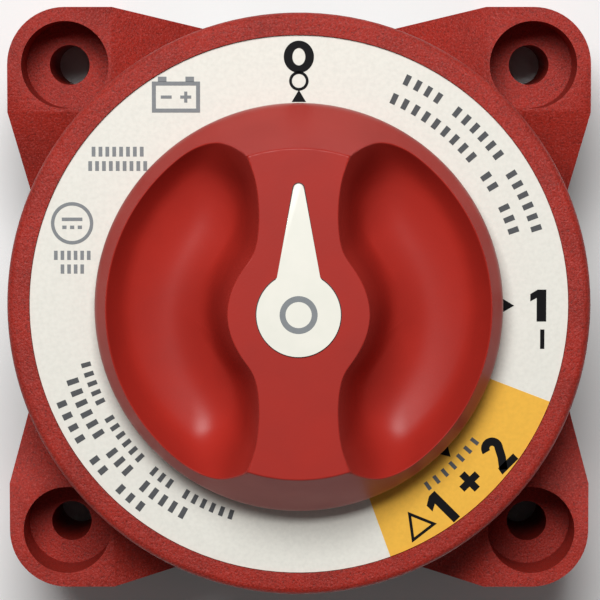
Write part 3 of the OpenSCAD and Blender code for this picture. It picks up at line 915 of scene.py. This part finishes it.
def build_nuts():
    """Hexagon nuts with chamfered corners and a countersunk bore."""
    low, high = NUTS_LOW.z, NUTS_HIGH.z
    face = NUT_HALF - 0.25 * MM
    bm = bmesh.new()
    for angle in STUDS.values():
        rows = [nut_row(bm, angle, NUT_BORE, low + 0.5 * MM),
                nut_row(bm, angle, NUT_MOUTH, low),
                nut_row(bm, angle, face, low),
                nut_row(bm, angle, None, low + 0.15 * MM, droop=0.6),
                nut_row(bm, angle, None, high - 0.15 * MM, droop=-0.6),
                nut_row(bm, angle, face, high),
                nut_row(bm, angle, NUT_MOUTH, high),
                nut_row(bm, angle, NUT_BORE, high - 0.5 * MM)]
        for row, next_row in zip(rows, rows[1:] + rows[:1]):
            stitch(bm, row, next_row)
    piece = mesh_object("hex_nuts_chamfered", bm, MATERIALS["stainless"], 25)
    finish_piece(piece, CASE, "stainless", "hex_nuts")


def build_springs():
    """The coil springs again, between the knob's rotor and what they press on, copied from their
    CAD meshes.
    """
    for name, body, pushes_up in (("bridge_springs_a", "bridge_contact_a_body", False),
                                  ("bridge_springs_b", "bridge_contact_b_body", False),
                                  ("link_springs", "link_contact_body", False),
                                  ("detent_spring_a", "detent_plunger_a_body", True),
                                  ("detent_spring_b", "detent_plunger_b_body", True)):
        bm = bmesh.new()
        bm.from_mesh(frame["nodes"][name].data)
        piece = mesh_object(name + "_coils", bm, MATERIALS["spring_steel"], 60)
        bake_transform(piece)
        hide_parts(name)


# ---------------------------------------------------------------- CAD nodes

def soften(node, width, segments=2):
    """Rounds a CAD node's hard edges: joins its flat triangles, then bevels what is left."""
    piece = frame["nodes"][node]
    weld = piece.modifiers.new("weld", "WELD")
    weld.merge_threshold = 0.002 * MM
    flat = piece.modifiers.new("flat", "DECIMATE")
    flat.decimate_type = "DISSOLVE"
    flat.angle_limit = radians(1.5)
    bevel = piece.modifiers.new("bevel", "BEVEL")
    bevel.width = width
    bevel.segments = segments
    bevel.limit_method = "ANGLE"
    bevel.angle_limit = radians(35)
    bevel.use_clamp_overlap = True
    weighted = piece.modifiers.new("weighted", "WEIGHTED_NORMAL")
    weighted.keep_sharp = True
    weighted.weight = 100


def dress_nodes():
    """Gives every CAD node its slot's material and softens the edges that show."""
    slots = {row["node"]: row["material_slot"] for row in frame["record"]["subparts"]}
    for name, piece in frame["nodes"].items():
        piece.data.materials.clear()
        piece.data.materials.append(MATERIALS[slots[name]])
        piece.data.shade_smooth()
        piece.data.set_sharp_from_angle(angle=radians(32))
    soften("housing", 0.45 * MM, segments=3)
    for name in ("rear_guard", "terminal_base", "rotor", "detent_plate"):
        soften(name, 0.3 * MM)
    for name in ("flat_washers", "lock_washers", "base_screws", "guard_screws", "drive_shaft",
                 "shaft_bushing", "bridge_contact_a", "bridge_contact_b", "link_contact"):
        soften(name, 0.15 * MM)


# ---------------------------------------------------------------- stage

def build_floor():
    """Plain pale floor with a slightly uneven sheen."""
    half = 1.5
    corners = box_points(half, half)
    bm = bmesh.new()
    bm.faces.new(ring_of(bm, [(x, y, 0) for x, y in corners]))
    look = Look("pale_floor", (0.93, 0.93, 0.92), 0.6)
    look.rough(look.range(look.noise(60 * MM, 2.0), 0.3, 0.7, 0.55, 0.7))
    floor = mesh_object("floor", bm, look.material)


def build_light():
    """Dim even surroundings and one large soft light from above, on OFF's side."""
    world = bpy.data.worlds.new("studio")
    world.use_nodes = True
    sky = world.node_tree.nodes["Background"]
    sky.inputs["Color"].default_value = (1, 1, 1, 1)
    sky.inputs["Strength"].default_value = 0.10
    bpy.context.scene.world = world
    data = bpy.data.lights.new("key", "AREA")
    data.shape = "RECTANGLE"
    data.size = 0.36
    data.size_y = 0.28
    data.energy = 6.05
    lamp = bpy.data.objects.new("key", data)
    lamp.location = (-0.06, 0.32, 0.74)
    aim = Vector((0, 0, 0.06)) - lamp.location
    lamp.rotation_euler = aim.to_track_quat("-Z", "Y").to_euler()
    bpy.context.scene.collection.objects.link(lamp)


def build_camera():
    """Looks nearly straight down the knob's axis, with OFF at the top."""
    data = bpy.data.cameras.new("camera")
    data.sensor_width = 36
    data.lens = 195
    tilt = radians(4.0)
    distance = 0.568
    aim = Vector((0.0002, 0.0010, 0.056))
    towards = Vector((0.0015, sin(tilt), cos(tilt))).normalized()
    right = Vector((0, 1, 0)).cross(towards).normalized()
    up = towards.cross(right)
    turn = Matrix((right, up, towards)).transposed().to_4x4()
    camera = bpy.data.objects.new("camera", data)
    camera.matrix_world = Matrix.Translation(aim + distance * towards) @ turn
    bpy.context.scene.collection.objects.link(camera)
    bpy.context.scene.camera = camera
    bpy.context.scene.view_settings.view_transform = "Standard"


# ---------------------------------------------------------------- the scene

build_camera()
dress_nodes()
build_knob()
build_pointer()
build_yellow_sector()
build_black_marks()
build_dark_rows()
build_grey_marks()
build_terminals()
build_nuts()
build_springs()
build_floor()
build_light()
